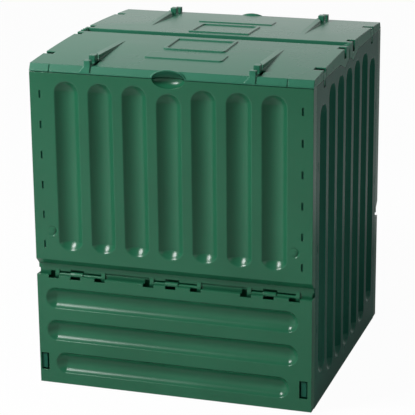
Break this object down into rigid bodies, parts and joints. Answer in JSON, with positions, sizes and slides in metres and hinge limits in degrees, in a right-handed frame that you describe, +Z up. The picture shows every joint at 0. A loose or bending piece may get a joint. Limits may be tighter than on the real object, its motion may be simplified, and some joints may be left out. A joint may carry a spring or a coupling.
{
  "type": "garden compost bin",
  "caption": "Square grooved plastic garden compost bin with a hinged two-part lid and hinged emptying flaps low on the front and rear.",
  "frame": {"origin": "centre of the square base, on the ground", "axes": "+X to the right seen from the front, +Y from front to back, +Z up"},
  "size_m": [0.7, 0.7, 0.8365],
  "materials": {
    "green_plastic": "moulded, slightly glossy",
    "dark_green_plastic": "moulded, slightly glossy"
  },
  "bodies": {
    "bin": {"front_wall": "green_plastic", "rear_wall": "green_plastic", "side_wall_left": "dark_green_plastic", "side_wall_right": "dark_green_plastic"},
    "front_flap": {"front_flap": "green_plastic"},
    "rear_flap": {"rear_flap": "green_plastic"},
    "front_lid": {"front_lid": "green_plastic"},
    "rear_lid": {"rear_lid": "green_plastic"}
  },
  "joints": [
    {"name": "front_lid_hinge", "type": "hinge", "parent": "bin", "child": "front_lid", "pos_m": [0, -0.007, 0.824], "axis": [-1, 0, 0], "range_deg": [0, 85]},
    {"name": "rear_lid_hinge", "type": "hinge", "parent": "bin", "child": "rear_lid", "pos_m": [0, 0.007, 0.824], "axis": [1, 0, 0], "range_deg": [0, 85]},
    {"name": "front_flap_hinge", "type": "hinge", "parent": "bin", "child": "front_flap", "pos_m": [0, -0.335, 0.287], "axis": [-1, 0, 0], "range_deg": [0, 90]},
    {"name": "rear_flap_hinge", "type": "hinge", "parent": "bin", "child": "rear_flap", "pos_m": [0, 0.335, 0.287], "axis": [1, 0, 0], "range_deg": [0, 90]}
  ]
}
